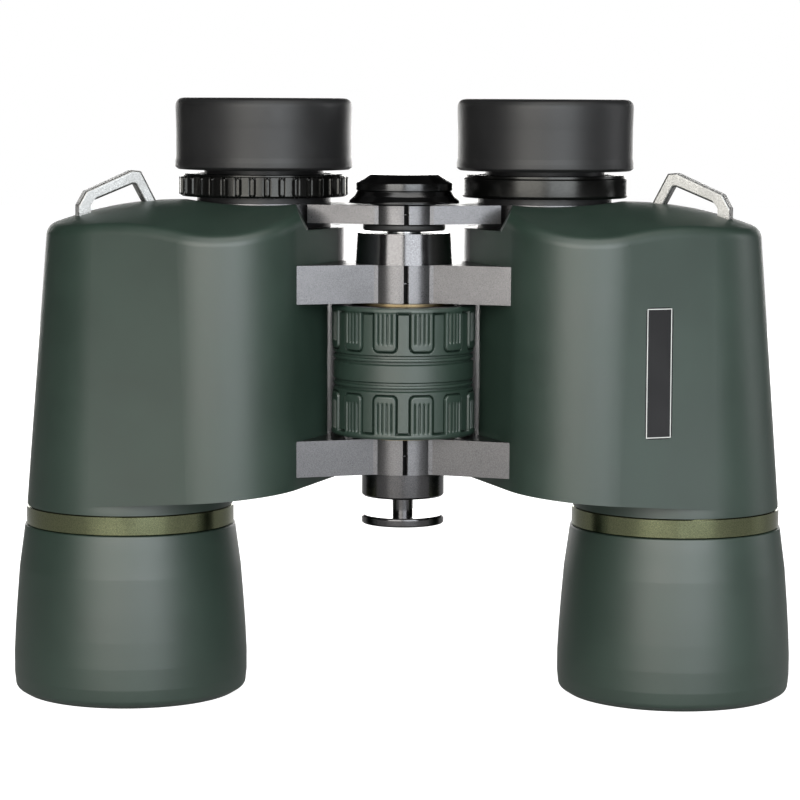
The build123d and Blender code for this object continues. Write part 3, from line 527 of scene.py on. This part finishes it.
def grip_outline():
    """The grip's cross-section, with close rows where its mould has detail."""
    marks = [0.0, 0.15, 0.3, 0.5, 0.85]
    marks += [1.0 + 0.12 * step for step in range(12)]
    marks += [3.2, 4.5, 5.8, 7.0]
    marks += [7.6 + 0.15 * step for step in range(39)]
    marks += [13.6, 14.3]
    low = [GRIP_LOW + mark * MM for mark in marks]
    high = [GRIP_HIGH - mark * MM for mark in reversed(marks)]
    outer = [(GRIP_R, z) for z in low + high]
    return outer + [(GRIP_INNER_R, GRIP_HIGH), (GRIP_INNER_R, GRIP_LOW)]


BRASS = (0.15, 0.115, 0.065, 1.0)
brass = blasted_metal("turned_brass", BRASS, (0.30, 0.42), 1.0)
dress(brass, "focus_thrust_washers")
dress(tube_black, "focus_wheel_drum")
grip_angles = plain_angles(PADS, GRIP_COLUMNS)
grip_sector = sector_mesh("grip_sector", grip_angles, grip_outline(), grip_face)
ring_piece("focus_wheel_grip_look", grip_sector, PADS, HINGE_LINE, green_rubber, "focus_wheel",
           "focus_wheel_grip")

# --- Name plate -------------------------------------------------------------------------------
# A blank black plastic plate let into the left housing's armour, with a fine light line printed
# round it just inside its edge.
PLATE_BLACK = (0.014, 0.014, 0.015, 1.0)
LINE_GREY = (0.42, 0.43, 0.42, 1.0)
PLATE_MIDDLE = (58.4 * MM, 78.9 * MM)
PLATE_HALF = (3.2 * MM, 15.1 * MM)
LINE_INSET, LINE_W = 0.25 * MM, 0.22 * MM

plate_black = blasted_metal("blank_plate", PLATE_BLACK, (0.30, 0.40), 0.0,
                            Specular_IOR_Level=0.2)
axes = plate_black.tree.nodes.new("ShaderNodeSeparateXYZ")
plate_black.plug(axes.inputs[0], plate_black.place)
offsets = []
for axis, middle, half in zip("XZ", PLATE_MIDDLE, PLATE_HALF):
    place = Wire(plate_black.tree, axes.outputs[axis])
    offsets.append((place - middle).maths("ABSOLUTE", place - middle) - half)
inward = offsets[0].maths("MAXIMUM", *offsets) * -1.0
line = inward.between(LINE_INSET, LINE_INSET + 0.05 * MM)
line = line - inward.between(LINE_INSET + LINE_W, LINE_INSET + LINE_W + 0.05 * MM)
plate_black.set("Base Color", plate_black.blend(line, PLATE_BLACK, LINE_GREY))
dress(plate_black, "left_name_plate")

# --- Tripod cap -------------------------------------------------------------------------------
dress(turned_metal, "tripod_cap")

# --- Floor, light and camera ------------------------------------------------------------------
# A white sweep under two tall softboxes, a warm one at the left and a cool one at the right, with
# weaker ones at the right edge, behind and above.
AIM = Vector((0.0, HINGE_Y, 0.0702))
FLOOR_SIZE = 6.0
FLOOR_GREY, FLOOR_DIM = (0.4, 0.4, 0.4, 1.0), (0.05, 0.05, 0.05, 1.0)
FLOOR_SEEN = (1.0, 1.0, 1.0, 1.0)
LENS_MM, SENSOR_MM, LENS_SHIFT = 130.5, 36.0, -0.004
CAMERA_TILT, CAMERA_ROLL, CAMERA_DISTANCE = math.radians(6.0), math.radians(0.3), 0.685


def plain_floor():
    mesh = bpy.data.meshes.new("floor")
    half = FLOOR_SIZE / 2
    corners = [(-half, -half, 0), (half, -half, 0), (half, half, 0), (-half, half, 0)]
    mesh.from_pydata(corners, [], [(0, 1, 2, 3)])
    floor = bpy.data.objects.new("floor", mesh)
    bpy.context.scene.collection.objects.link(floor)
    paint = Finish("white_floor", FLOOR_GREY, 0.6, 0.0, Specular_IOR_Level=0.1)
    seen = paint.node("ShaderNodeLightPath", out="Is Camera Ray")
    paint.set("Emission Color", paint.blend(seen, FLOOR_DIM, FLOOR_SEEN))
    paint.set("Emission Strength", 1.0)
    mesh.materials.append(paint.material)


def softbox(name, azimuth, height, distance, width, tall, power, colour):
    """Upright area light round the object; azimuth 0 is the camera's side, positive to the right."""
    light = bpy.data.lights.new(name, "AREA")
    light.shape = "RECTANGLE"
    light.size = width
    light.size_y = tall
    light.energy = power
    light.color = colour
    lamp = bpy.data.objects.new(name, light)
    turn = math.radians(azimuth)
    lamp.location = AIM + Vector((distance * math.sin(turn), -distance * math.cos(turn), height))
    lamp.rotation_euler = (AIM - lamp.location).to_track_quat("-Z", "Y").to_euler()
    bpy.context.scene.collection.objects.link(lamp)


def camera():
    lens = bpy.data.cameras.new("camera")
    lens.lens = LENS_MM
    lens.sensor_width = SENSOR_MM
    lens.shift_x = LENS_SHIFT
    lens.clip_start = 0.01
    eye = bpy.data.objects.new("camera", lens)
    away = Vector((0, -math.cos(CAMERA_TILT), math.sin(CAMERA_TILT)))
    eye.location = AIM + away * CAMERA_DISTANCE
    look = (AIM - eye.location).to_track_quat("-Z", "Y")
    roll = Matrix.Rotation(CAMERA_ROLL, 3, "Z")
    eye.rotation_euler = (look.to_matrix() @ roll).to_euler()
    bpy.context.scene.collection.objects.link(eye)
    bpy.context.scene.camera = eye


def surroundings(brightness):
    world = bpy.data.worlds.new("studio")
    bpy.context.scene.world = world
    world.use_nodes = True
    graph = Graph(world.node_tree)
    back = next(n for n in graph.tree.nodes if n.type == "BACKGROUND")
    seen = graph.node("ShaderNodeLightPath", out="Is Camera Ray")
    graph.plug(back.inputs["Color"], (1.0, 1.0, 1.0, 1.0))
    graph.plug(back.inputs["Strength"], seen * (1.0 - brightness) + brightness)


plain_floor()
softbox("warm_softbox", -22.0, 0.10, 1.1, 0.78, 1.3, 19.0, (1.0, 0.975, 0.92))
softbox("cool_softbox", 22.5, 0.10, 1.1, 0.78, 1.3, 20.5, (0.93, 0.97, 1.0))
softbox("edge_softbox", 100, 0.10, 1.0, 0.25, 1.0, 2.6, (0.97, 0.98, 1.0))
softbox("rear_softbox", 180, 0.03, 1.1, 1.3, 0.45, 9.0, (1.0, 0.99, 0.97))
softbox("top_softbox", 8, 1.05, 0.50, 1.2, 0.6, 8.0, (1.0, 0.99, 0.96))
surroundings(0.05)
camera()
bpy.context.scene.view_settings.view_transform = "Standard"
